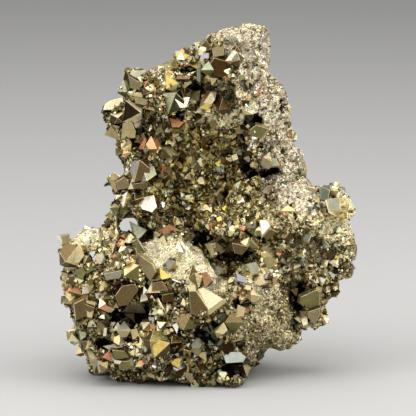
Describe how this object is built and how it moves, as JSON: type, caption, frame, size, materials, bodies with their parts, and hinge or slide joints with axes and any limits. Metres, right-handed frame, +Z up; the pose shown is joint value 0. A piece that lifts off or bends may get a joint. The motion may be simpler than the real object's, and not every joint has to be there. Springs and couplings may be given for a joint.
{
  "type": "mineral specimen",
  "caption": "Brassy octahedral pyrite crystals grown together on a broken, granular mass of pyrite, with a crystal-lined hollow in front and a flat broken base.",
  "frame": {"origin": "on the broken flat that the specimen stands on, under the front of the tower", "axes": "+Z up from the base, -Y towards the viewer of the crystal side, +X to that viewer's right"},
  "size_m": [0.1506, 0.1013, 0.1738],
  "materials": {
    "pyrite": "metallic lustre, flat bright crystal faces and granular broken faces",
    "druse_pyrite": "metallic lustre, darker brown, fine sparkling crystals"
  },
  "bodies": {
    "root": {"crystal_cluster": "pyrite", "hollow_druse": "druse_pyrite"}
  },
  "joints": []
}
